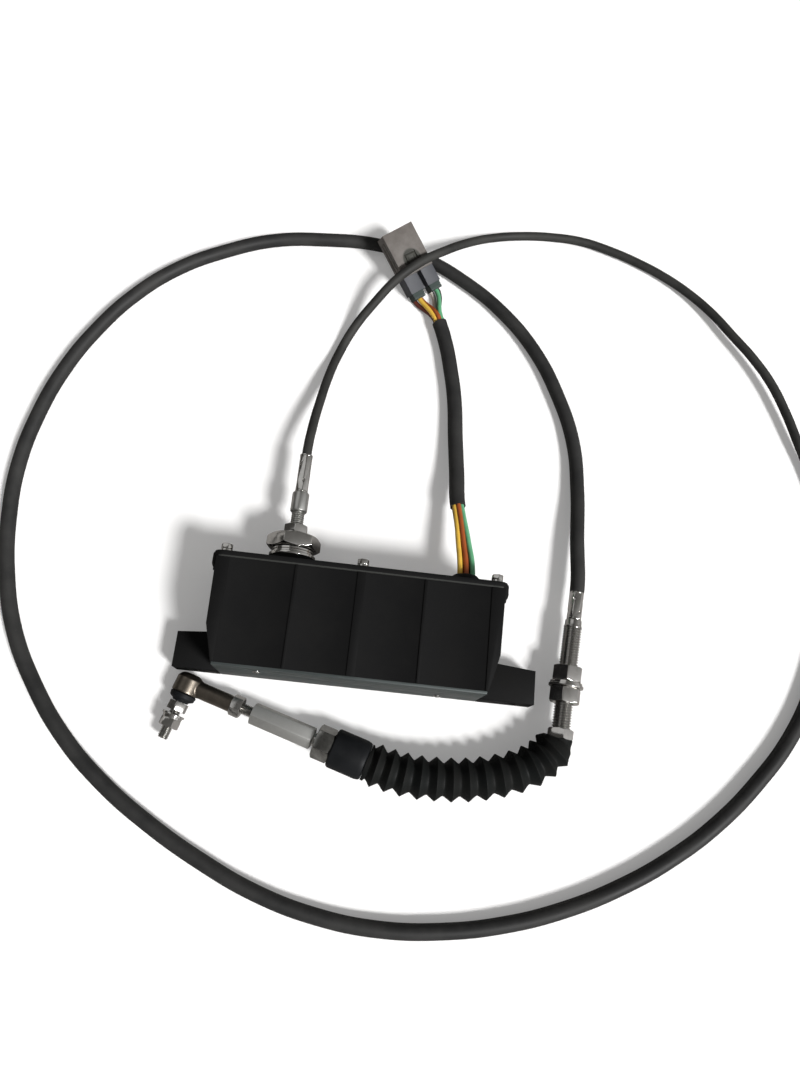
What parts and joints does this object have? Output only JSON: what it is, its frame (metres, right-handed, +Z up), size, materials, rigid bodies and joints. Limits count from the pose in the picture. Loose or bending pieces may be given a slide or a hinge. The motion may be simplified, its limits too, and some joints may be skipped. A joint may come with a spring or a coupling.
{
  "type": "engine governor actuator",
  "caption": "Cast box actuator with a geared motor, a push-pull control cable ending in a bellows, hexagon coupling and ball joint, and a short wiring harness with a plug.",
  "frame": {"origin": "centre of the cast box's length and height on its flat back, which lies on the floor", "axes": "+X along the box towards the harness end, +Y out of the lid that the cable and harness leave by, +Z up from the back towards the ribbed front"},
  "size_m": [0.6723, 0.598, 0.0573],
  "materials": {
    "cast_black": "matte",
    "slate": "satin",
    "zinc": "zinc plated",
    "steel": "machined",
    "olive_steel": "dull zinc",
    "rubber": "matte",
    "sheath": "dusty",
    "gasket": "matte",
    "connector_grey": "matte",
    "seal": "matte",
    "brass": "satin",
    "board": "satin",
    "dark_plastic": "matte",
    "yellow": "satin",
    "orange": "satin",
    "green": "satin",
    "brown": "satin",
    "white": "satin",
    "black_wire": "satin"
  },
  "bodies": {
    "base": {"housing": "cast_black", "base_plate": "slate", "base_screws": "zinc", "lid": "cast_black", "lid_gasket": "gasket", "lid_washers": "zinc", "lid_screws": "zinc", "gland_bushing": "zinc", "gland_washers": "zinc", "gland_nut": "zinc", "hub_locknut": "zinc", "cable_hub": "steel", "hub_ferrule": "steel", "control_cable": "sheath", "cable_sleeve": "sheath", "engine_ferrule": "zinc", "threaded_tube": "steel", "fixing_nuts": "zinc", "fixing_washers": "zinc", "end_nut": "zinc", "bellows": "rubber", "core_wire": "steel", "grommet": "rubber", "wire_yellow": "yellow", "wire_orange": "orange", "wire_green": "green", "wire_brown": "brown", "wire_white": "white", "wire_black": "black_wire", "harness_sleeve": "rubber", "connector_body": "connector_grey", "wire_seals": "seal", "contacts": "brass", "terminal_board": "board", "motor_can": "steel", "motor_cap": "dark_plastic", "idler_pin": "steel", "pull_wire": "steel", "gear_plate": "zinc", "plate_screws": "zinc", "bushes": "brass", "position_sensor": "dark_plastic"},
    "output": {"output_gear": "brass", "lever": "zinc", "lever_pin": "brass"},
    "middle": {"middle_gear": "brass"},
    "rotor": {"rotor": "steel"},
    "rod": {"bellows_collar": "rubber", "pull_rod": "steel", "collar_nut": "zinc", "hex_coupling": "zinc", "coupling_stud": "steel", "jam_nut": "zinc", "ball_housing": "olive_steel"},
    "boot": {"dust_boot": "rubber"},
    "stud": {"ball_stud": "steel", "stud_washers": "zinc", "stud_nut": "zinc"}
  },
  "joints": [
    {"name": "lever_swing", "type": "hinge", "parent": "base", "child": "output", "pos_m": [-0.024, 0, 0], "axis": [0, 0, 1], "range_deg": [-2, 34], "deforming": ["pull_wire"]},
    {"name": "middle_gear_turn", "type": "hinge", "parent": "base", "child": "middle", "pos_m": [0.004, 0, 0], "axis": [0, 0, 1], "range_deg": [-124.67, 7.33]},
    {"name": "rotor_turn", "type": "hinge", "parent": "base", "child": "rotor", "pos_m": [0.0304, 0, 0], "axis": [0, 0, 1], "range_deg": [-33, 561]},
    {"name": "rod_slide", "type": "slide", "parent": "base", "child": "rod", "axis": [-0.9566, 0.2888, -0.0392], "range_m": [-0.01781, 0.00105], "deforming": ["bellows", "core_wire"]},
    {"name": "ball_tilt", "type": "hinge", "parent": "rod", "child": "boot", "pos_m": [-0.1176, -0.05226, 0.0099], "axis": [-0.0375, 0.0113, 0.9992], "range_deg": [-14, 14], "deforming": ["dust_boot"]},
    {"name": "ball_rock", "type": "hinge", "parent": "boot", "child": "stud", "pos_m": [-0.1176, -0.05226, 0.0099], "axis": [-0.9566, 0.2888, -0.0392], "range_deg": [-14, 14]}
  ],
  "couplings": [
    {"joint": "middle_gear_turn", "follows": "lever_swing", "ratio": -3.6667},
    {"joint": "rotor_turn", "follows": "lever_swing", "ratio": 16.5},
    {"joint": "rod_slide", "follows": "lever_swing", "m_per_rad": -0.03}
  ]
}
